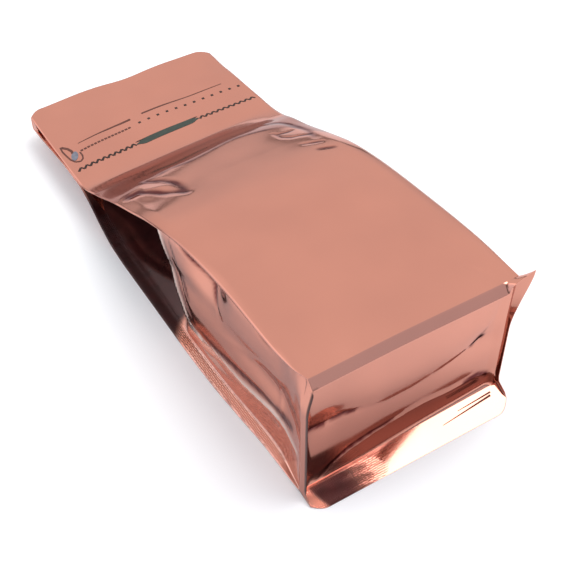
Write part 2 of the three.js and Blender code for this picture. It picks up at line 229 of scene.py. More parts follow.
RIGHT = Side(
    sign=1,
    front_height=[(0, DEPTH), (25, 91.5), (50, 89.2), (82, 85.2), (115, 80.3), (140, 75),
                  (155, 70.5), (177, 61.5), (204, 49.6), (222, 42.5), (236, 35.8),
                  (251, 31.5), (284, 28), (301, 25.7), (LENGTH, 22)],
    front_reach=[(0, 65.5), (40, 67.4), (170, 67.5), (215, 68), (255, HALF - 0.5),
                 (LENGTH, HALF - 0.4)],
    droop=[(0, 0), (25, 1), (100, 1.5), (170, 1.5), (240, 0.2), (LENGTH, 0)],
    back_height=[(0, 6.5), (12, 3.5), (35, 0.5), (60, 0), (195, 0), (213, 2), (229, 9),
                 (245, 20), (261, 27.4), (284, 25.3), (301, 23), (LENGTH, 18.5)],
    back_reach=[(0, 66), (30, 66.5), (60, 68), (90, 69.2), (120, HALF - 0.2),
                (190, HALF - 0.2), (LENGTH, HALF - 0.4)],
    wall_reach=[(0, 64.6), (12, 62), (30, 60), (90, 60), (175, 60.5), (255, 62.4),
                (LENGTH, 62.4)],
    ridge_start=110,
)

# ---- Gussets ----
# Shares go up a gusset, from 0 at the back panel's seam to 1 at the front panel's.
BUCKLE_AT, BUCKLE_LENGTH = 104.0, 15.0
BUCKLE_SHARE, BUCKLE_SPREAD, BUCKLE_DEPTH = 0.8, 0.17, 7.0
BUCKLE_CLEAR = (0.95, 1)
TOP_TURN = 0.8
CREASE_SHARE, CREASE_SPREAD = 0.5, 0.1
TUCK_LEAN, TUCK_CURVE = 46.0, 0.6
TUCK_LENGTH = 16.0
TUCK_ROUNDNESS = 1.15
TUCK_CLOSES = 240.0

# The bright turn of the left gusset, by distance from the bottom fold and height: down from the
# tuck and along the foot.
TURN_FOOT = [(97, 10), (69, 15), (37, 25), (6, 28)]
TURN_LINE = [(163, 62), (155, 46), (147, 31), (138, 18), (128, 7), (112, 7), *TURN_FOOT]
TURN_HEIGHT = curve([*TURN_FOOT[::-1], (128, 7)])
# Creases of the left gusset.
GUSSET_CREASES = [
    (TURN_LINE, 1.5, 0.9),
    ([(118, 12), (80, 20.5), (48, 29), (15, 33)], 1.5, -0.8),
    ([(134, 68), (121, 65), (104, 62), (96, 51), (90, 42)], 1.5, -0.7),
    ([(110, 84), (101, 73), (94, 65)], 1.5, -0.7),
    ([(118, 76), (107, 69), (97, 58)], 1.5, 0.7),
    ([(51, 76), (42, 78), (33, 82)], 3.0, -0.9),
    ([(96, 31), (73, 41), (55, 49), (33, 58), (14, 86)], 1.5, 0.4),
    ([(34, 56), (30, 43), (26, 24)], 1.5, 0.35),
    ([(146, 50), (131, 24), (120, 13)], 1.5, -0.6),
]
# Painted shade along its folds: a line and a half width.
GUSSET_FOLD_SHADE = [
    ([(124, 12), (97, 14.5), (80, 20), (48, 28.5), (17, 33)], 1.8),
    ([(34, 31), (24, 34), (12, 38)], 2.2),
    ([(134, 69), (121, 66), (104, 62), (96, 51)], 2.2),
    ([(128, 72), (112, 73), (102, 70), (94, 62)], 2.2),
    ([(51, 77), (42, 78), (33, 82)], 2.8),
    ([(154, 58), (143, 38), (131, 21), (120, 12)], 1.2),
    ([(146, 62), (136, 44), (126, 27)], 1.2),
]
CREASES_FADE, CREASES_LEAN = (150, 172), 0.35
RELIEF_FROM = 8                 # relief is full this far from the bottom fold and from the foot
RELIEF_CLEAR = (0.93, 1)        # it fades out at these shares
GUSSET_RIPPLES = (60, 0.12)     # wavelength and height
RIGHT_SHIFT = 9                 # the right gusset's creases lie this much further on


def gusset_relief(side, y, height):
    """How far creases stand out of a gusset."""
    at = y - (0 if side is LEFT else RIGHT_SHIFT)
    form = creases(at, height, GUSSET_CREASES) + ripples(at, height, *GUSSET_RIPPLES, seed=21)
    ends = ease(0, RELIEF_FROM, y) * (1 - ease(*CREASES_FADE, at - CREASES_LEAN * height))
    return form * ends * ease(1, RELIEF_FROM, height)


def tuck_ridge(side, share):
    """Where along the length a gusset turns into its tuck."""
    return side.ridge_start + TUCK_LEAN * share ** TUCK_CURVE


def gusset_reach(side, y, share, back_seam, front_seam, height):
    """How far a gusset stands out from the middle plane, at a share of its height."""
    plane = side.wall_reach(y)
    top = ease(TOP_TURN, 1, share)
    foot = 1 - ease(0, FOOT_HEIGHT(y), share)
    buckle = bump(y, BUCKLE_AT, BUCKLE_LENGTH) * bump(share, BUCKLE_SHARE, BUCKLE_SPREAD)
    taut = plane + (front_seam - plane) * top + (back_seam - plane) * foot
    taut = taut - WALL_CREASE(y) * bump(share, CREASE_SHARE, CREASE_SPREAD)
    taut = taut - BUCKLE_DEPTH * buckle * (1 - ease(*BUCKLE_CLEAR, share))
    taut = taut + gusset_relief(side, y, height) * (1 - ease(*RELIEF_CLEAR, share))
    fold = GUSSET_FOLD(y)
    towards_fold = np.where(share < fold, share / fold, (1 - share) / (1 - fold))
    depth = GUSSET_DEPTH(y) * (1 - (1 - towards_fold) ** TUCK_ROUNDNESS)
    tucked = mix(back_seam, front_seam, share) - depth * (1 - ease(TUCK_CLOSES, SEALED_FROM, y))
    return mix(taut, tucked, ease(0, TUCK_LENGTH, y - tuck_ridge(side, share)))


# ---- Front panel ----
PANEL_SQUARENESS = 2.4
FIN_DROOP = 1.3
CREST_SWELL = 5.5
CREST_ROUNDING = 0.35
SLOPE_END = 248.0
SLOPE_SAG = 1.25
CREST_LINE = curve([(-60, 203), (-44, 208.5), (-27, 211.6), (-13, 210), (6, 213), (21, 216),
                    (40, 212.6), (54, 205), (62, 186), (HALF, 171)])

FRONT_DENTS = [
    # the swelling inside the curl at the left end of the crest
    ((-43, 193), (8, 5), -40, 0.5),
    # soft hollows and a swelling of the body
    ((-25, 60), (30, 20), 20, -0.35),
    ((15, 110), (26, 40), -20, 0.3),
    ((30, 35), (22, 16), 30, -0.3),
]
# Hard folds of the front panel: at the crest the curl at its left end, and the loops and
# dashes at its right end.
HARD_FOLDS = [
    ([(-47, 214), (-37, 200), (-34.5, 192), (-33, 183), (-34.5, 173), (-37, 170)], 2.6, -0.5),
    ([(-33, 168), (-39, 176.5), (-45, 183.6), (-49.5, 193), (-55, 199), (-63, 197)], 2.8, -0.5),
    ([(-63, 203), (-57, 200), (-50, 201)], 3.4, -0.4),
    ([(46, 226), (56, 217), (58.5, 208), (59.5, 197), (59.5, 188), (55, 172)], 2.0, -0.4),
    ([(42, 204), (42.5, 191.5), (46, 187), (52, 185), (58, 181)], 1.6, -0.35),
    ([(42, 199), (49, 197), (55, 198)], 1.4, -0.3),
    ([(43, 172), (50, 168), (56, 165)], 1.6, -0.35),
    ([(45, 158), (51, 155), (56, 152)], 1.6, -0.35),
]
FRONT_CREASES = HARD_FOLDS + [
    # the lower corners
    ([(-54, 44), (-55, 30), (-57, 14), (-60, 2)], 3.0, 0.25),
    ([(-56, 40), (-50, 44), (-42, 50)], 2.2, 0.35),
    ([(49, 43), (53, 35), (56, 27)], 1.6, -0.4),
    ([(46, 24), (48, 18), (51, 12.5), (52.5, 6), (53.5, 0)], 1.5, -0.35),
]
# Pressed lines of the header: beside the tear lines, and along the press-to-close strip.
TEAR_LINES = [
    ([(-57, 292.8), (-13, 296.3)], 0.8, -0.3),
    ([(-3, 297), (57, 295.5)], 0.8, -0.3),
    ([(-57, 294.6), (-13, 298.1)], 0.9, 0.2),
    ([(-3, 298.8), (57, 297.3)], 0.9, 0.2),
]
ZIPPER_EDGE = [
    ([(-70, 273), (-20, 275), (30, 275), (70, 272.5)], 0.9, 0.2),
    ([(-70, 264), (-20, 265.5), (30, 265.5), (70, 263.5)], 1.2, 0.12),
]
# Relief fades out towards the side seams, and the body's and the header's own beside the crest.
# Ripples are a wavelength and a height.
MARGIN_X = (HALF - 16, HALF - 5)
BODY_TO, HEADER_FROM = (190, 215), (250, 262)
PANEL_RIPPLES, FINE_RIPPLES, HEADER_RIPPLES = (80, 0.20), (24, 0.03), (36, 0.40)
HEADER_STRETCH = 0.7


def front_swell(x, y):
    """Height of the front panel's swelling half way between its seams. It rises to the crest,
    where the filled part ends, and drops from there to the header."""
    crest = CREST_LINE(x)
    past = np.clip((y - crest) / (SLOPE_END - crest), 0, 1)
    falling = CREST_SWELL * (1 - past ** SLOPE_SAG)
    return soft_min(BODY_SWELL(y), falling, CREST_ROUNDING) + HEADER_SWELL(y)


def front_relief(x, y):
    """Height of creases and dents over the front panel's main form."""
    inner = 1 - ease(*MARGIN_X, np.abs(x))
    body = 1 - ease(*BODY_TO, y)
    header = ease(*HEADER_FROM, y)
    form = ripples(x, y, *PANEL_RIPPLES, seed=3) * inner
    form = form + (body + header) * inner * ripples(x, y, *FINE_RIPPLES, seed=5)
    form = form + header * ripples(x * HEADER_STRETCH, y, *HEADER_RIPPLES, seed=8)
    form = form + dents(x, y, FRONT_DENTS) + creases(x, y, FRONT_CREASES)
    return form + creases(x, y, TEAR_LINES) + creases(x, y, ZIPPER_EDGE)


def front_height_at(x, y):
    """Height of the front panel at any point of it."""
    seal = SEAL_WIDTH(y)
    left_reach = LEFT.front_reach(y)
    right_reach = RIGHT.front_reach(y)
    share = (x + left_reach) / (left_reach + right_reach)
    seam = mix(LEFT.front_height(y) + LEFT.droop(y), RIGHT.front_height(y) + RIGHT.droop(y), share)
    swell = front_swell(x, y) * (1 - np.abs(2 * share - 1) ** PANEL_SQUARENESS)
    left_fin = np.clip((-left_reach + seal - x) / seal, 0, 1) ** FIN_DROOP
    right_fin = np.clip((x - right_reach + seal) / seal, 0, 1) ** FIN_DROOP
    drop = LEFT.droop(y) * left_fin + RIGHT.droop(y) * right_fin
    return seam + swell - drop + front_relief(x, y)


# ---- Cross sections ----
def across(left_reach, right_reach, seal):
    """x of each column across a panel: seal fin, panel, seal fin."""
    fin = np.linspace(0, 1, FIN_STEPS + 1)
    body = np.linspace(0, 1, PANEL_STEPS + 1)
    span = left_reach + right_reach - 2 * seal
    return np.concatenate([
        -left_reach + seal * fin[:-1],
        -left_reach + seal + span * body,
        right_reach - seal + seal * fin[1:],
    ], axis=1)


def front_panel(y):
    x = across(LEFT.front_reach(y), RIGHT.front_reach(y), SEAL_WIDTH(y))
    return x, front_height_at(x, y)


def back_panel(y):
    left_reach = LEFT.back_reach(y)
    right_reach = RIGHT.back_reach(y)
    x = across(left_reach, right_reach, SEAL_WIDTH(y))
    share = (x + left_reach) / (left_reach + right_reach)
    swell = BACK_SWELL(y) * (1 - np.abs(2 * share - 1) ** PANEL_SQUARENESS)
    return x, mix(LEFT.back_height(y), RIGHT.back_height(y), share) + swell


def side_wall(side, y):
    """From the back panel's free edge up to the front panel's, at one side."""
    seal = SEAL_WIDTH(y)
    back_reach = side.back_reach(y)
    front_reach = side.front_reach(y)
    low = side.back_height(y) + FILM
    high = side.front_height(y) + side.droop(y) - FILM
    out = np.linspace(0, 1, FIN_STEPS + 1)
    share = np.linspace(0, 1, WALL_STEPS + 1)[1:-1]
    height = mix(low, high, share)
    reach = gusset_reach(side, y, share, back_reach - seal, front_reach - seal, height)
    x = np.concatenate([back_reach - seal * out, reach, front_reach - seal * (1 - out)], axis=1)
    z = np.concatenate([low + 0 * out, height, high - side.droop(y) * out ** FIN_DROOP], axis=1)
    even = np.linspace(0, 1, x.shape[1])
    slot = mix(SLOT, -EDGE_ROUND, ease(LENGTH - SLOT_CLOSES, LENGTH, y))
    edge = mix(back_reach, front_reach, even) - slot * (1 - np.abs(2 * even - 1) ** SLOT_SQUARENESS)
    merged = ease(SEALED_FROM, SEALED_FROM + SEALED_WITHIN, y)
    return side.sign * mix(x, edge, merged), mix(z, mix(low, high, even), merged)


FOLD_BACK_TURN, FOLD_FRONT_TURN = (0, 0.1), (0.75, 1)


def side_of_fold(side, y):
    """At the bottom fold the seals have run out: a side is evenly spaced points."""
    share = (np.arange(SIDE_POINTS) + 1) / (SIDE_POINTS + 1)
    reach = mix(side.back_reach(y), side.wall_reach(y), ease(*FOLD_BACK_TURN, share))
    x = mix(reach, side.front_reach(y), ease(*FOLD_FRONT_TURN, share))
    return side.sign * x, mix(side.back_height(y), DEPTH, share)


MOUTH_CORNER_FROM, MOUTH_CORNER_DROP = 0.86, 6.5
MOUTH_WAVES = [(-62, 22, 2.2), (2, 18, 1.6)]    # x, half width and depth
MOUTH_DROP = 1.2
MOUTH_FROM = 296.0


def mouth_line(x, y):
    """The mouth's edge waves a little and its corners are rounded."""
    past = np.clip((np.abs(x) / HALF - MOUTH_CORNER_FROM) / (1 - MOUTH_CORNER_FROM), 0, None)
    drop = MOUTH_DROP + MOUTH_CORNER_DROP * past ** 2
    for middle, width, depth in MOUTH_WAVES:
        drop = drop + depth * bump(x, middle, width)
    return y - ease(MOUTH_FROM, LENGTH, y) * drop


def sections(y, side_line=side_wall):
    """Closed cross sections, one a row, as arrays of x, y and z: back panel left to right,
    right gusset, front panel, left gusset."""
    y = np.asarray(y, float).reshape(-1, 1)
    parts = back_panel(y), side_line(RIGHT, y), front_panel(y), side_line(LEFT, y)
    x, z = (np.concatenate([back, right, front[:, ::-1], left[:, ::-1]], axis=1)
            for back, right, front, left in zip(*parts))
    return x, mouth_line(x, y + 0 * x), z


# ---- The bottom seal ----
FRONT_BAND = (DEPTH - 8, DEPTH - 1)     # heights over which the left and right fins become
BACK_BAND = (0.8, 3)                    # the front fin, and the back fin
BACK_CORNER_FROM, BACK_CORNER_WIDTH, BACK_CORNER_CUT = 56.0, 9.0, 5.0
FRONT_DROP = 4.4
EAR_X, EAR_Z = (55, 66), (55, DEPTH)
EAR_FIN, EAR_OUT, EAR_UP = 6.0, 5.0, 7.0
EAR_CLEAR = (56, 58)                    # x where the front fin stops tipping down
FIN_BEND = 1.2


def back_fold(x):
    """Height of the bottom fold along the back panel, which lifts off the table to the right."""
    share = (x + LEFT.back_reach(0)) / (LEFT.back_reach(0) + RIGHT.back_reach(0))
    return mix(LEFT.back_height(0), RIGHT.back_height(0), share)


def fin_ring(fold, share):
    """The bottom seal at a share of its way out. The front fin tips down, with its right-hand
    corner standing up as an ear, and the back fin slopes down to the table."""
    x, y, z = fold
    front = ease(*FRONT_BAND, z)
    back = 1 - ease(*BACK_BAND, z - back_fold(x))
    ear = ease(*EAR_X, x) * ease(*EAR_Z, z)
    past = np.clip((np.abs(x) - BACK_CORNER_FROM) / BACK_CORNER_WIDTH, 0, None)
    back_length = BACK_FIN - BACK_CORNER_CUT * past ** 2
    side_length = np.where(x < 0, LEFT_FIN, RIGHT_FIN)
    length = mix(mix(mix(side_length, FRONT_FIN, front), EAR_FIN, ear), back_length, back)
    tip = FRONT_DROP * front * (1 - ease(*EAR_CLEAR, x))
    rise = (EAR_UP * ear - tip) * share ** FIN_BEND
    slope = back * back_fold(x) * share * length / BACK_FIN
    return x + EAR_OUT * ear * share, y - length * share, z + rise - slope


def inside_of(ring):
    """The same outline on the inner face of the fin."""
    x, y, z = ring
    return x * (1 - FILM / LEFT.back_reach(0)), y, FILM + z * (1 - 2 * FILM / DEPTH)


# ---- Bottom panel ----
RECESS = 1.5
CREASE_DEPTH = 0.7
CREASE_WIDTH = 9.0
CREASE_LINE = curve([(-60, 45), (-38, 44.5), (-10, 39), (5, 39), (30, 44), (45, 49), (60, 50)])
DIMPLES_AT, DIMPLE_WIDTH, DIMPLE_DEPTH = (-48, 50), 8.0, 1.0
ROLL_TOP = curve([(-62, 4), (-44, 12), (-33, 17), (-18, 21), (0, 22), (60, 19)])
ROLL_DEPTH = curve([(-62, 1.6), (0, 0.6), (60, -0.8)])
PANEL_ENDS = (57, 64)
# The panel's left part leans in towards the crease and out again above it.
LEAN_DEPTH, LEAN_X, LEAN_IN, LEAN_OUT = 2.0, (-38, -12), (2, 38), (44, 88)
BOTTOM_RIPPLES = (60, 0.08)
BOTTOM_CREASES = [
    ([(-59, 45), (-48, 42), (-38, 44.5), (-24, 41)], 1.5, 0.55),
    ([(-26, 41.5), (-10, 39), (5, 39), (22, 42)], 1.5, 0.2),
    ([(20, 41.5), (30, 44), (45, 49), (56, 53)], 1.5, 0.4),
    ([(52, 54), (57, 66), (60, 80)], 2.2, 0.25),
    ([(-55, 2), (-44, 10), (-33, 15.5), (-18, 19.5), (2, 22)], 1.5, 0.5),
    ([(-6, 19), (14, 21), (32, 20), (48, 21), (58, 17)], 2.0, -0.7),
]
# Painted shade along the bottom panel's folds: a line and a half width.
BOTTOM_FOLD_SHADE = [
    ([(-59, 45.5), (-53, 44.5), (-46, 42)], 1.9),
    ([(-44, 43.5), (-36, 44.5), (-28, 42.5)], 1.4),
    ([(43, 48), (49, 55), (52, 51)], 1.2),
    ([(-57, 1), (-44, 9.5), (-33, 14.5), (-18, 19), (-4, 21)], 1.2),
    ([(40, 21), (50, 22.5), (57, 19), (58, 15)], 1.5),
]


def panel_recess(x, z):
    """How far inside the bottom fold the bottom panel lies."""
    dimples = sum(DIMPLE_DEPTH * bump(x, middle, DIMPLE_WIDTH) for middle in DIMPLES_AT)
    crease = (CREASE_DEPTH + dimples) * bump(z, CREASE_LINE(x), CREASE_WIDTH)
    roll = ROLL_DEPTH(x) * (1 - ease(0, ROLL_TOP(x), z))
    lean = LEAN_DEPTH * ease(*LEAN_IN, z) * (1 - ease(*LEAN_OUT, z)) * (1 - ease(*LEAN_X, x))
    fine = creases(x, z, BOTTOM_CREASES) + ripples(x, z, *BOTTOM_RIPPLES, seed=14)
    return (RECESS + crease + lean - roll + fine) * (1 - ease(*PANEL_ENDS, np.abs(x)))


# ---- Skin ----
def ring_faces(rings):
    """Quads between each ring and the next."""
    start = np.arange(rings - 1)[:, None] * RING_POINTS
    here = np.arange(RING_POINTS)[None, :]
    after = (here + 1) % RING_POINTS
    corners = [start + here, start + RING_POINTS + here, start + RING_POINTS + after, start + after]
    return np.stack(corners, axis=2).reshape(-1, 4)


def bottom_grid(ring, first_new):
    """A grid over the bottom panel. Its border is the ring, the first points of the mesh.
    Returns its inner points and its faces."""
    x, _, z = (row[0] for row in ring)
    rows = SIDE_POINTS + 2
    left = -np.arange(rows) % RING_POINTS
    right = PANEL_POINTS - 1 + np.arange(rows)
    share = ((x[:PANEL_POINTS] - x[0]) / (x[PANEL_POINTS - 1] - x[0]))[None, 1:-1]
    inner_x, inner_z = (mix(row[left][1:-1, None], row[right][1:-1, None], share)
                        for row in (x, z))
    index = np.zeros((rows, PANEL_POINTS), int)
    index[0] = np.arange(PANEL_POINTS)
    index[-1] = 2 * PANEL_POINTS + SIDE_POINTS - 1 - np.arange(PANEL_POINTS)
    index[:, 0] = left
    index[:, -1] = right
    index[1:-1, 1:-1] = first_new + np.arange(inner_x.size).reshape(inner_x.shape)
    faces = np.stack([index[:-1, :-1], index[:-1, 1:], index[1:, 1:], index[1:, :-1]], axis=2)
    return (inner_x, panel_recess(inner_x, inner_z), inner_z), faces.reshape(-1, 4)


def mouth_lips(last):
    """Inside the mouth: down the inner faces of the two layers, which lean together there."""
    x, y, z = last
    front = slice(PANEL_POINTS + SIDE_POINTS, 2 * PANEL_POINTS + SIDE_POINTS)
    front_z = np.interp(x, x[0, front][::-1], z[0, front][::-1])
    back_z = np.interp(x, x[0, :PANEL_POINTS], z[0, :PANEL_POINTS])
    middle = (front_z + back_z) / 2
    inset = x * (1 - FILM / HALF)
    return [(inset, y - depth, mix(z, middle, closing)) for depth, closing in MOUTH_POCKET]


def mouth_faces(first):
    """Closes the pocket of the mouth between the back layer's points and the front layer's."""
    last = PANEL_POINTS - 1

    def back(column):
        return first + column

    def front(column):
        return first + 2 * PANEL_POINTS + SIDE_POINTS - 1 - column

    faces = [(back(k), front(k), front(k + 1), back(k + 1)) for k in range(1, last - 1)]
    middle = (SIDE_POINTS + 2) // 2
    for row in range(SIDE_POINTS + 1):
        left = first + (RING_POINTS - row) % RING_POINTS
        right = back(last) + row
        faces.append((left, first + RING_POINTS - row - 1, back(1) if row < middle else front(1)))
        faces.append((right + 1, right, back(last - 1) if row < middle else front(last - 1)))
    faces.append((back(1), first + RING_POINTS - middle, front(1)))
    faces.append((back(last - 1), front(last - 1), back(last) + middle))
    return faces


def make_mesh(name, points, faces, material, smooth=True):
    mesh = bpy.data.meshes.new(name)
    mesh.from_pydata(points.tolist(), [], [tuple(int(v) for v in face) for face in faces])
    mesh.validate()
    mesh.materials.append(material)
    piece = bpy.data.objects.new(name, mesh)
    bpy.context.scene.collection.objects.link(piece)
    if smooth:
        mesh.shade_smooth()
    return piece


def sharpen_rings(mesh, rings):
    """Makes the edges along those rings sharp, as at a crisp fold or a cut edge."""
    wanted = np.zeros(len(mesh.vertices), int) - 1
    for number in rings:
        wanted[number * RING_POINTS:(number + 1) * RING_POINTS] = number
    ends = np.zeros(2 * len(mesh.edges), int)
    mesh.edges.foreach_get("vertices", ends)
    ring = wanted[ends.reshape(-1, 2)]
    sharp = (ring[:, 0] >= 0) & (ring[:, 0] == ring[:, 1])
    layer = mesh.attributes.new("sharp_edge", "BOOLEAN", "EDGE")
    layer.data.foreach_set("value", sharp)


def stations():
    runs = [np.arange(start, end, step) for start, end, step in STATION_RUNS]
    return np.append(np.concatenate(runs)[1:], LENGTH)


def make_pouch(material):
    fold = sections([0.0], side_of_fold)
    shares = np.linspace(0, 1, FIN_RINGS + 1)
    rings = [inside_of(fin_ring(fold, share)) for share in shares]
    rings += [fin_ring(fold, share) for share in shares[::-1]]
    body = sections(stations())
    rings.append(body)
    rings += mouth_lips([axis[-1:] for axis in body])
    count = sum(len(ring[0]) for ring in rings)
    inner, bottom_faces = bottom_grid(rings[0], count * RING_POINTS)
    x, y, z = (np.concatenate([ring[axis].ravel() for ring in rings] + [inner[axis].ravel()])
               for axis in range(3))
    faces = [*ring_faces(count), *bottom_faces, *mouth_faces((count - 1) * RING_POINTS)]
    pouch = make_mesh("pouch_film", place(x, y, z), faces, material)
    tip_inside = FIN_RINGS
    fold_ring = 2 * FIN_RINGS + 1
    sharpen_rings(pouch.data, [0, tip_inside, tip_inside + 1, fold_ring])
    for name, values in film_masks(x, y, z, fold_ring * RING_POINTS, count * RING_POINTS).items():
        layer = pouch.data.attributes.new(name, "FLOAT", "POINT")
        layer.data.foreach_set("value", values.astype(np.float32))
    return pouch


# ---- Painted shade, painted highlights and other masks fixed on the film ----
# A pair is where a tone begins and is full, or begins to fade and is gone. But SEALED_Y is the
# side seals' two ends, and FOLD_RIPPLES a wavelength and a height.
OUT_FROM_FOLD, BACK_FIN_HEIGHT = (0.5, 3), (4, 9)
SEALED_X, SEALED_Y = (-32, -14), (20, 235)
EDGE_X, EDGE_OUT = -58, (4.0, 5.2)
EDGE_FOOT, EDGE_TOP = (4, 8), (88, 92)
# Painted shade on the left end of the back fin, short of its corner.
FIN_CORNER, FIN_CORNER_SLANT, FIN_END = (-62, -59), 0.3, (-44, -27)
FIN_TONE, FIN_DARK = 0.9, 0.75
# Near black painted shade inside the tucks, where the film is also less metallic.
TUCKED_FROM, TUCKED_TO = (4, 0.65 * TUCK_LENGTH), (TUCK_CLOSES, SEALED_FROM + 12)
TUCKED_X, TUCKED_LOW = (57, 62.5), 0.4
TUCKED_DULL = 0.7
# Painted shade on the front panel's drop, crest and folds, on the left gusset's folds and on the
# bottom panel.
DROP_TONE, DROP_FROM, DROP_TO = 0.5, (-1.0, 1.0), (-5, 1)
DROP_END = curve([(-HALF, 238), (-40, 236), (0, 240), (30, 238), (HALF, 232)])
CREST_TONE, CREST_AT, CREST_WIDTH = 0.95, -0.5, 1.3
CREST_LEFT, CREST_RIGHT = (-46, -30), (40, 56)
FOLD_TONE, GUSSET_FOLD_TONE, BOTTOM_FOLD_TONE = 1.5, 1.6, 1.5
FOLD_EVENNESS, FOLD_RIPPLES = 0.75, (12, 0.2)
BOTTOM_TONE, BOTTOM_LOW, BOTTOM_HIGH, BOTTOM_SLANT = 0.35, (8, 26), (20, 62), 0.3
# The painted highlight along the left gusset's turn, and the lighter painted tone just below it.
FOOT_TONE, FOOT_TOP, FOOT_END = 0.2, (-1, 1), (110, 125)
TURN_WIDTH, TURN_WIDENS, TURN_WIDER = 2.6, 1.7, (118, 135)


def film_masks(x, y, z, first, last):
    """What the film's material reads, by name. Points before first are the bottom seal's, those
    from last on are the bottom panel's, and the body's lie between."""
    seal = x[:first], y[:first], z[:first]
    body = x[first:last], y[first:last], z[first:last]
    no_seal, no_body, no_panel = np.zeros(first), np.zeros(last - first), np.zeros(len(x) - last)
    pressed = on_back_fin(1 - ease(*SEALED_X, seal[0]), *seal[1:])
    parts = {
        "sealed": [pressed, side_seals(body[1]), no_panel],
        "edge": [left_rim(*seal), no_body, no_panel],
        # Near black painted shade in the tucks and on the back fin's left end.
        "tucked": [FIN_DARK * fin_end(*seal), tuck_shade(*body[:2]), no_panel],
        # Painted highlight along the left gusset's turn.
        "painted_highlight": [no_seal, turn_highlight(*body), no_panel],
        # Painted shade on the back fin's left end, the front panel, the left gusset's folds and the
        # bottom panel.
        "painted_shade": [FIN_TONE * fin_end(*seal), body_painted_shade(*body), bottom_painted_shade(x[last:], z[last:])],
    }
    masks = {name: np.concatenate(values) for name, values in parts.items()}
    # Less metal under the near black painted shade, so that it stays dark.
    masks["metal"] = 1 - TUCKED_DULL * masks["tucked"]
    return masks


def on_back_fin(share, y, z):
    """That share on the back fin, and 0 on the rest of the bottom seal."""
    return share * ease(*OUT_FROM_FOLD, -y) * (1 - ease(*BACK_FIN_HEIGHT, z))


def fin_end(x, y, z):
    """Painted shade: 1 on the dark left end of the back fin, short of its pale corner."""
    end = ease(*FIN_CORNER, x + FIN_CORNER_SLANT * y) * (1 - ease(*FIN_END, x))
    return on_back_fin(end, y, z)


def left_rim(x, y, z):
    """1 on a dark band along the rim of the left fin."""
    rim = ease(*EDGE_OUT, -y) * (x < EDGE_X)
    return rim * ease(*EDGE_FOOT, z) * (1 - ease(*EDGE_TOP, z))


def side_seals(y):
    """1 on the back panel's side seals, which are pressed in a fine grid."""
    column = np.arange(len(y)) % RING_POINTS
    left = (column < FIN_STEPS) | (column >= RING_POINTS - FIN_STEPS - 1)
    right = np.abs(column - PANEL_POINTS + 0.5) < FIN_STEPS + 1
    return (left | right) & (y > SEALED_Y[0]) & (y < SEALED_Y[1])


def wall_share(body_points):
    """How far up a gusset each point of the body lies, from 0 to 1, or -1 elsewhere."""
    up = np.linspace(0, 1, SIDE_POINTS)
    panel = np.full(PANEL_POINTS, -1.0)
    return np.resize(np.concatenate([panel, up, panel, up[::-1]]), body_points)


def on_left_gusset(x):
    return (wall_share(len(x)) >= 0) & (x < 0)


def tuck_shade(x, y):
    """Painted shade: 1 deep inside the tuck of a gusset, where hardly any light gets."""
    share = wall_share(len(x))
    past_ridge = y - tuck_ridge(LEFT, np.clip(share, 0, 1))
    off_seam = np.where(share < TUCKED_LOW, 1, 1 - ease(*TUCKED_X, np.abs(x)))
    inside = ease(*TUCKED_FROM, past_ridge) * off_seam
    return (share >= 0) * inside * (1 - ease(*TUCKED_TO, y))


def turn_highlight(x, y, z):
    """Painted highlight: 1 along the bright turn of the left gusset, and a lighter painted tone a
    little below it.
    """
    distance, _ = nearest_on(y, z, TURN_LINE)
    below = FOOT_TONE * (1 - ease(*FOOT_TOP, z - TURN_HEIGHT(y))) * (1 - ease(*FOOT_END, y))
    line = bump(distance, 0, TURN_WIDTH * mix(1, TURN_WIDENS, ease(*TURN_WIDER, y)))
    return on_left_gusset(x) * np.maximum(line, below)


def folds_painted_shade(u, v, folds, tone):
    """That much painted shade along the folds, each of which starts with a line and a half width.
    """
    return creases(u, v, [(fold[0], fold[1], tone) for fold in folds])


def body_painted_shade(x, y, z):
    """How much painted shade the front panel and the left gusset get, from 0 to 1."""
    column = np.arange(len(x)) % RING_POINTS - PANEL_POINTS - SIDE_POINTS
    on_front = (column >= 0) & (column < PANEL_POINTS)
    wall = folds_painted_shade(y, z, GUSSET_FOLD_SHADE, GUSSET_FOLD_TONE)
    return np.clip(on_front * front_painted_shade(x, y) + on_left_gusset(x) * wall, 0, 1)


def front_painted_shade(x, y):
    """Painted shade on the front panel: on the drop beyond the crest, and along the crest and its
    folds, where the tone is uneven."""
    past_crest = y - CREST_LINE(x)
    drop = ease(*DROP_FROM, past_crest) * (1 - ease(*DROP_TO, y - DROP_END(x)))
    folds = folds_painted_shade(x, y, HARD_FOLDS, FOLD_TONE)
    crest = CREST_TONE * bump(past_crest, CREST_AT, CREST_WIDTH) * ease(*CREST_LEFT, x)
    crest = crest * (1 - ease(*CREST_RIGHT, x))
    uneven = FOLD_EVENNESS + ripples(x, y, *FOLD_RIPPLES, seed=31)
    return DROP_TONE * drop + (folds + crest) * uneven


def bottom_painted_shade(x, z):
    """Painted shade on the bottom panel, stronger towards its lower left corner and along its
    folds.
    """
    panel = BOTTOM_TONE * ease(*BOTTOM_LOW, z) * (1 - ease(*BOTTOM_HIGH, z + BOTTOM_SLANT * x))
    return np.clip(panel + folds_painted_shade(x, z, BOTTOM_FOLD_SHADE, BOTTOM_FOLD_TONE), 0, 1)


# ---- Materials ----
FILM_FINISH = {
    "Specular Tint": (0.74, 0.68, 0.68, 1),
    "Coat Weight": 0.12,
    "Coat Roughness": 0.04,
    "Coat IOR": 1.5,
}
FILM_ROUGHNESS = {"To Min": 0.08, "To Max": 0.14}
FILM_COLOR = (0.655, 0.285, 0.21, 1)
FILM_WORN = (0.56, 0.245, 0.185, 1)
EDGE_COLOR = (0.055, 0.030, 0.028, 1)
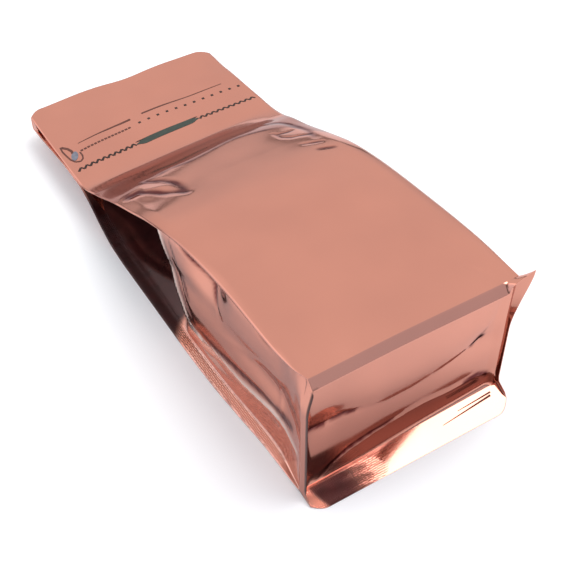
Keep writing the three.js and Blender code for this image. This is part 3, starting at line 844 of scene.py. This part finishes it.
# Colour of the painted highlight along the left gusset's turn.
TURN_HIGHLIGHT_COLOR = (1.0, 0.86, 0.78, 1)
# Colour of the painted shade along folds and over dark patches.
PAINTED_SHADE_COLOR = (0.105, 0.012, 0.012, 1)
# Near black painted shade in the tucks, with patches of dark red.
DEEP_SHADE_DARK = (0.016, 0.006, 0.006, 1)
DEEP_SHADE_RED = (0.075, 0.014, 0.013, 1)
# Sizes of the patches of wear, of gloss and of red in the painted shade of the tucks.
WEAR_SIZE, GLOSS_SIZE, TUCK_SIZE = 45 * MM, 18 * MM, 9 * MM
GRAIN_SIZE, GRAIN_STRENGTH, GRAIN_DEPTH = 1.3 * MM, 0.12, 0.05 * MM
KNURL_PITCH, KNURL_RANDOMNESS, KNURL_DEPTH = 1.1 * MM, 0.35, 0.4 * MM
INK_FINISH = {"Roughness": 0.45, "Specular IOR Level": 0.2}
FLOOR_FINISH = {
    "Base Color": (0.97, 0.97, 0.97, 1),
    "Roughness": 0.9,
    "Specular IOR Level": 0.1,
    "Emission Color": (1, 1, 1, 1),
    "Emission Strength": 0.06,
}


def set_inputs(node, values):
    for name, value in values.items():
        node.inputs[name].default_value = value


def new_material(name, finish):
    material = bpy.data.materials.new(name)
    material.use_nodes = True
    nodes = material.node_tree.nodes
    shader = nodes["Principled BSDF"]
    set_inputs(shader, finish)
    return material, nodes, material.node_tree.links.new, shader


def add_noise(nodes, link, size, detail=2.0):
    """Noise with patches of about that size, fixed on the object."""
    node = nodes.new("ShaderNodeTexNoise")
    set_inputs(node, {"Scale": 1 / size, "Detail": detail})
    link(nodes.new("ShaderNodeTexCoord").outputs["Object"], node.inputs["Vector"])
    return node.outputs["Fac"]


def add_blend(nodes, link, share, first, second):
    """From one colour to another, each of them a colour or a node's output."""
    node = nodes.new("ShaderNodeMix")
    node.data_type = "RGBA"
    for name, colour in (("A", first), ("B", second)):
        if isinstance(colour, tuple):
            node.inputs[name].default_value = colour
        else:
            link(colour, node.inputs[name])
    link(share, node.inputs["Factor"])
    return node.outputs["Result"]


def film_material():
    """Metallised film under a thin clear coat. It is faintly uneven all over, darker in a band
    along the left fin's rim, and pressed in a fine grid where it is sealed. It carries painted
    shade, near black inside the tucks and along hard folds and other dark patches, and a painted
    highlight along the left gusset's turn."""
    material, nodes, link, shader = new_material("rose_gold_film", FILM_FINISH)

    def attribute(name):
        node = nodes.new("ShaderNodeAttribute")
        node.attribute_name = name
        return node.outputs["Fac"]

    # Near black painted shade for the tucks, with patches of dark red.
    tuck = add_blend(nodes, link, add_noise(nodes, link, TUCK_SIZE), DEEP_SHADE_DARK, DEEP_SHADE_RED)
    tone = add_blend(nodes, link, add_noise(nodes, link, WEAR_SIZE), FILM_COLOR, FILM_WORN)
    # Over the film's colour: painted shade, the painted highlight along the turn, the tucks' near
    # black painted shade, and the dark band at the left fin's rim.
    for mask, colour in [("painted_shade", PAINTED_SHADE_COLOR), ("painted_highlight", TURN_HIGHLIGHT_COLOR), ("tucked", tuck),
                         ("edge", EDGE_COLOR)]:
        tone = add_blend(nodes, link, attribute(mask), tone, colour)
    link(tone, shader.inputs["Base Color"])
    link(attribute("metal"), shader.inputs["Metallic"])

    gloss = nodes.new("ShaderNodeMapRange")
    set_inputs(gloss, FILM_ROUGHNESS)
    link(add_noise(nodes, link, GLOSS_SIZE), gloss.inputs["Value"])
    link(gloss.outputs["Result"], shader.inputs["Roughness"])

    knurl = nodes.new("ShaderNodeTexVoronoi")
    set_inputs(knurl, {"Scale": 1 / KNURL_PITCH, "Randomness": KNURL_RANDOMNESS})
    link(nodes.new("ShaderNodeTexCoord").outputs["Object"], knurl.inputs["Vector"])
    pressed = nodes.new("ShaderNodeBump")
    set_inputs(pressed, {"Distance": KNURL_DEPTH})
    link(knurl.outputs["Distance"], pressed.inputs["Height"])
    link(attribute("sealed"), pressed.inputs["Strength"])
    grain = nodes.new("ShaderNodeBump")
    set_inputs(grain, {"Strength": GRAIN_STRENGTH, "Distance": GRAIN_DEPTH})
    link(add_noise(nodes, link, GRAIN_SIZE, detail=1.0), grain.inputs["Height"])
    link(pressed.outputs["Normal"], grain.inputs["Normal"])
    link(grain.outputs["Normal"], shader.inputs["Normal"])
    return material


def ink_material(name, dark, light, patch):
    """Print on the film, and faint lines of painted shade drawn like it, uneven in patches of about
    that many millimetres.
    """
    material, nodes, link, shader = new_material(name, INK_FINISH)
    tone = add_blend(nodes, link, add_noise(nodes, link, patch * MM), (*dark, 1), (*light, 1))
    link(tone, shader.inputs["Base Color"])
    return material


# ---- Marks on the film: print, and lines of painted shade ----
INK_RAISE = 0.12
PLATE_TIP = 0.15        # width at the ends of a plate, as a share of its width
# A slanting bar's share of the pitch, its taper, and the width of the thin bar after it.
BAR_SHARE, BAR_TAPER, THIN_BAR = 0.6, 0.8, 0.6
# Lines of marks: start and end.
STRIP_LEFT = [(-65, 268.5), (-22.5, 270.1)]
STRIP_RIGHT = [(25, 270.2), (66.5, 267.7)]
STRIP_BAR = [(-22, 271.8), (24.5, 272.2)]
STRIP_PLATE = [(-22, 269.6), (24.5, 270.2)]
DOTS = [(-10.5, 288.8), (64.7, 286.7)]
DASHES = [(-55.7, 284.9), (-17, 288)]
# Dark lines painted as the shade along the tear strip's pressed edge.
TEAR_LEFT = [(-54, 293.0), (-14, 296.2)]
TEAR_RIGHT = [(-5, 297.2), (56, 295.5)]
# Dark lines painted on the back fin as the shade of its wrinkles.
LONG_WRINKLE = [(24, -6.5), (58, -4.5)]
SHORT_WRINKLE = [(36, -3.6), (59, -3.0)]
# The tab at the left edge, and the loop that it hangs from.
TAB_AT, TAB_LONG, TAB_SHORT, TAB_TURN = (-61, 282.5), 4.6, 2.3, 65
TAB_RIM = [(-65.5, 296), (-66, 291), (-65.5, 286), (-64.8, 281), (-63, 277), (-60, 275.4),
           (-57.6, 277), (-56.6, 280), (-56.6, 284)]
TAB_CURL = [(-65, 295.5), (-62, 292), (-60.8, 288.5), (-61, 285.5)]


def bottom_fin_height_at(x, y):
    """Height of the upper face of the back panel's bottom fin."""
    return FILM + back_fold(x) * (1 + y / BACK_FIN)


def lay_on(height_at, name, outlines, material):
    """Flat marks on the film, one polygon for each outline of (x, y) points."""
    x, y = np.concatenate(outlines).T
    points = place(x, y, height_at(x, y) + INK_RAISE)
    starts = np.cumsum([0] + [len(outline) for outline in outlines])
    faces = [range(start, end) for start, end in zip(starts[:-1], starts[1:])]
    mark = make_mesh(name, points, faces, material)
    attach(mark, "root")


def line_at(start, end, share):
    return np.array(start) + (np.array(end) - np.array(start)) * share


def stroke(start, end, width, end_width=None):
    """A straight bar between two points, which may taper."""
    start, end = np.array(start, float), np.array(end, float)
    along = (end - start) / np.linalg.norm(end - start)
    aside = np.array([-along[1], along[0]]) / 2
    end_width = width if end_width is None else end_width
    return np.array([start - aside * width, end - aside * end_width,
                     end + aside * end_width, start + aside * width])


def tapered(start, end, width, end_width, pieces=24):
    """A long tapering line in short bars, so that it follows the film."""
    widths = np.linspace(width, end_width, pieces + 1)
    return [stroke(line_at(start, end, k / pieces), line_at(start, end, (k + 1) / pieces),
                   widths[k], widths[k + 1]) for k in range(pieces)]


def chain(start, end, pitch, swing, width):
    """The zipper's line of slanting bars, joined by thin ones."""
    count = round(np.linalg.norm(np.subtract(end, start)) / pitch)
    half = np.array([0, swing / 2])
    bars = []
    for k in range(count):
        low = line_at(start, end, k / count) - half
        high = line_at(start, end, (k + BAR_SHARE) / count) + half
        after = line_at(start, end, (k + 1) / count) - half
        bars.append(stroke(low, high, width, width * BAR_TAPER))
        bars.append(stroke(high, after, width * THIN_BAR))
    return bars


def dashes(start, end, count, length, width):
    along = line_at(start, end, 1) - line_at(start, end, 0)
    step = along / np.linalg.norm(along) * length
    starts = [line_at(start, end, k / count) for k in range(count)]
    return [stroke(at, at + step, width) for at in starts]


def squares(start, end, count, size):
    half = size / 2
    corners = np.array([(-half, -half), (half, -half), (half, half), (-half, half)])
    return [line_at(start, end, k / (count - 1)) + corners for k in range(count)]


def plate(start, end, width, point, columns=24):
    """A long plate whose ends come to blunt points, in strips that follow the film."""
    share = np.linspace(0, 1, columns + 1)
    length = np.linalg.norm(np.subtract(end, start))
    half = width / 2 * np.clip(np.minimum(share, 1 - share) * length / point, PLATE_TIP, 1)
    strips = []
    for k in range(columns):
        near, far = line_at(start, end, share[k]), line_at(start, end, share[k + 1])
        strips.append(np.array([near - (0, half[k]), far - (0, half[k + 1]),
                                far + (0, half[k + 1]), near + (0, half[k])]))
    return strips


def trail(points, width):
    """Bars of that width from each point to the next."""
    return [stroke(start, end, width) for start, end in zip(points[:-1], points[1:])]


def oval(middle, long, short, turn, count=20):
    """One oval, turned by that many degrees."""
    angle = np.linspace(0, 2 * np.pi, count, endpoint=False)
    cos, sin = np.cos(np.radians(turn)), np.sin(np.radians(turn))
    along, aside = long * np.cos(angle), short * np.sin(angle)
    rim = np.stack([along * cos - aside * sin, along * sin + aside * cos], axis=1)
    return [np.array(middle) + rim]


def add_marks():
    ink = ink_material("dark_ink", (0.022, 0.014, 0.012), (0.045, 0.024, 0.020), patch=6)
    # Faint ink for the guide dashes and the tab's rim, also used for lines of painted shade.
    faint = ink_material("faint_ink_and_painted_shade", (0.075, 0.026, 0.020), (0.16, 0.058, 0.042), patch=4)
    grey = ink_material("plate_ink", (0.030, 0.040, 0.033), (0.062, 0.072, 0.058), patch=3)
    blue = ink_material("tab_ink", (0.11, 0.11, 0.14), (0.24, 0.24, 0.28), patch=2)
    strip = chain(*STRIP_LEFT, pitch=4.3, swing=2.6, width=1.7)
    strip += chain(*STRIP_RIGHT, pitch=4.3, swing=2.4, width=1.6)
    strip += plate(*STRIP_BAR, width=0.9, point=1)
    # Painted shade along the tear strip's pressed edge, with the faint ink's finish.
    tear_shade = tapered(*TEAR_LEFT, width=0.5, end_width=1.7)
    tear_shade += tapered(*TEAR_RIGHT, width=1.4, end_width=0.5)
    # Painted shade of two wrinkles on the back fin.
    wrinkle_shade = tapered(*LONG_WRINKLE, width=0.3, end_width=1.2)
    wrinkle_shade += tapered(*SHORT_WRINKLE, width=0.3, end_width=1.0)
    dots = squares(*DOTS, count=12, size=1.8)
    guide = dashes(*DASHES, count=15, length=1.9, width=1.5)
    rim = trail(TAB_RIM, width=1.1) + trail(TAB_CURL, width=1.8)
    lay_on(front_height_at, "zipper_marks", strip, ink)
    lay_on(front_height_at, "zipper_plate", plate(*STRIP_PLATE, width=5.0, point=5), grey)
    lay_on(front_height_at, "tear_dots", dots, ink)
    lay_on(front_height_at, "guide_dashes", guide, faint)
    lay_on(front_height_at, "tear_crease_shade", tear_shade, faint)
    lay_on(front_height_at, "tab_rim", rim, faint)
    lay_on(bottom_fin_height_at, "fin_wrinkle_shade", wrinkle_shade, faint)
    lay_on(front_height_at, "tab", oval(TAB_AT, TAB_LONG, TAB_SHORT, TAB_TURN), blue)


# ---- Studio ----
CAMERA_AZIMUTH = np.radians(-31.67)
CAMERA_ELEVATION = np.radians(47.12)
CAMERA_TARGET = (-9.9, 100.31, 35.0)
CAMERA_DISTANCE = 659.9
FOCAL_PIXELS = 1157.64
FRAME_PIXELS = 576
SENSOR = 36.0
CLIP_START = 0.01

KEY_FROM = (0.45, -0.15, 1.25)
KEY_TO = (0.0, -0.05, 0.0)
KEY_SIZE = (0.95, 0.85)
KEY_POWER = 10.5
SOFT_LIGHT_FROM = (0.30, 0.65, 0.70)
# Ranges: two places of what is read, and the strengths there.
RANGE_INPUTS = ("From Min", "From Max", "To Min", "To Max")
SOFT_LIGHT_RANGE = (0.2, 0.87, 0.30, 1.06)
SOFT_LIGHT_TINT = (1.0, 0.98, 0.97, 1)
ROOM_TINT = (0.80, 0.93, 1.12, 1)
# More lights of the room: where each comes from, and its range.
FILL_LIGHTS = [
    ((-0.85, 0.25, 0.45), (0.62, 0.90, 0.0, 0.95)),
    ((0.30, -0.75, 0.58), (0.80, 0.95, 0.0, 0.6)),
]
FRONT_DARK_RANGE = (-0.7, 0.35, 0.80, 1.0)
HORIZON_RANGE = (-0.045, -0.015, 0.10, 1.0)
FLOOR_RADIUS, FLOOR_SIDES = 1.0, 96


def add_aimed(name, data, where, back):
    """Puts a camera or light there, looking away from the direction back."""
    thing = bpy.data.objects.new(name, data)
    bpy.context.scene.collection.objects.link(thing)
    turn = back.to_track_quat("Z", "Y").to_matrix().to_4x4()
    thing.matrix_world = Matrix.Translation(where) @ turn
    return thing


def add_camera():
    level = np.cos(CAMERA_ELEVATION)
    x, y = np.sin(CAMERA_AZIMUTH) * level, -np.cos(CAMERA_AZIMUTH) * level
    back = Vector((x, y, np.sin(CAMERA_ELEVATION)))
    target = Vector(place(*CAMERA_TARGET)[0])
    data = bpy.data.cameras.new("camera")
    data.sensor_width = SENSOR
    data.lens = FOCAL_PIXELS / FRAME_PIXELS * SENSOR
    data.clip_start = CLIP_START
    where = target + back * CAMERA_DISTANCE * MM
    bpy.context.scene.camera = add_aimed("camera", data, where, back)


def add_floor():
    turn = np.linspace(0, 2 * np.pi, FLOOR_SIDES, endpoint=False)
    rim = np.stack([FLOOR_RADIUS * np.cos(turn), FLOOR_RADIUS * np.sin(turn), 0 * turn], axis=1)
    material = new_material("studio_floor", FLOOR_FINISH)[0]
    floor = make_mesh("floor", rim, [range(len(rim))], material, smooth=False)


def add_key_light():
    data = bpy.data.lights.new("key", "AREA")
    data.shape = "RECTANGLE"
    data.size, data.size_y = KEY_SIZE
    data.energy = KEY_POWER
    add_aimed("key", data, Vector(KEY_FROM), Vector(KEY_FROM) - Vector(KEY_TO))


def add_world():
    """What the film mirrors: a broad soft light beyond the mouth, smaller ones at the left and
    in front, a cooler and dimmer room, darkest in front, and a dark horizon. Only the camera
    sees the white backdrop."""
    world = bpy.data.worlds.new("studio")
    bpy.context.scene.world = world
    world.use_nodes = True
    nodes = world.node_tree.nodes
    link = world.node_tree.links.new
    room = nodes["Background"]
    direction = nodes.new("ShaderNodeTexCoord").outputs["Generated"]
    split = nodes.new("ShaderNodeSeparateXYZ")
    link(direction, split.inputs[0])

    def ranged(value, limits):
        node = nodes.new("ShaderNodeMapRange")
        node.interpolation_type = "SMOOTHSTEP"
        set_inputs(node, dict(zip(RANGE_INPUTS, limits)))
        link(value, node.inputs["Value"])
        return node.outputs["Result"]

    def joined(operation, first, second):
        node = nodes.new("ShaderNodeMath")
        node.operation = operation
        link(first, node.inputs[0])
        link(second, node.inputs[1])
        return node.outputs["Value"]

    def light_from(where, limits):
        towards = nodes.new("ShaderNodeVectorMath")
        towards.operation = "DOT_PRODUCT"
        towards.inputs[1].default_value = Vector(where).normalized()
        link(direction, towards.inputs[0])
        return ranged(towards.outputs["Value"], limits)

    glow = light_from(SOFT_LIGHT_FROM, SOFT_LIGHT_RANGE)
    front_dark = ranged(split.outputs["Y"], FRONT_DARK_RANGE)
    horizon = ranged(split.outputs["Z"], HORIZON_RANGE)
    lit = joined("MULTIPLY", glow, front_dark)
    for where, limits in FILL_LIGHTS:
        lit = joined("ADD", lit, light_from(where, limits))
    link(joined("MULTIPLY", lit, horizon), room.inputs["Strength"])
    link(add_blend(nodes, link, glow, ROOM_TINT, SOFT_LIGHT_TINT), room.inputs["Color"])

    backdrop = nodes.new("ShaderNodeBackground")
    set_inputs(backdrop, {"Color": (1, 1, 1, 1)})
    seen = nodes.new("ShaderNodeLightPath")
    choose = nodes.new("ShaderNodeMixShader")
    link(seen.outputs["Is Camera Ray"], choose.inputs["Fac"])
    link(room.outputs["Background"], choose.inputs[1])
    link(backdrop.outputs["Background"], choose.inputs[2])
    link(choose.outputs["Shader"], nodes["World Output"].inputs["Surface"])


def add_studio():
    add_floor()
    add_world()
    add_key_light()
    bpy.context.scene.view_settings.view_transform = "Standard"


# ---- The scene ----
add_camera()
add_studio()
pouch = make_pouch(film_material())
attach(pouch, "root")
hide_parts("pouch_body")
add_marks()
